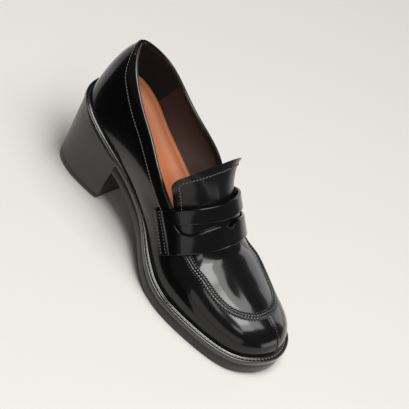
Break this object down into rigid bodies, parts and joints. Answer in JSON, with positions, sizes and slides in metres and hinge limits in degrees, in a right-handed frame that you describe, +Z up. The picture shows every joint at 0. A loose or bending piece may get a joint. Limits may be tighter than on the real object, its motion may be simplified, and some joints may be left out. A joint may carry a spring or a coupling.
{
  "type": "loafer pump",
  "caption": "Slip-on leather loafer with a slotted strap over the instep, a raised apron seam, a standing tongue, a welted sole and a high block heel.",
  "frame": {"origin": "middle of the shoe seen from above, on the floor it stands on", "axes": "+Z up, the toe points to -Y and the heel to +Y, the wearer's outer side is -X"},
  "size_m": [0.0958, 0.251, 0.1267],
  "materials": {
    "outsole": "black, satin edge",
    "heel_block": "grey-brown stacked layers, satin",
    "welt_midsole": "black, waxed edge",
    "insole": "tan, smooth",
    "upper": "black, polished",
    "tongue": "black, polished",
    "penny_strap": "black, polished",
    "apron_seam": "black, polished",
    "collar_band": "black, polished"
  },
  "bodies": {
    "root": {"outsole": "outsole", "heel_block": "heel_block", "welt_midsole": "welt_midsole", "insole": "insole", "upper": "upper", "tongue": "tongue", "penny_strap": "penny_strap", "apron_seam": "apron_seam", "collar_band": "collar_band"}
  },
  "joints": []
}
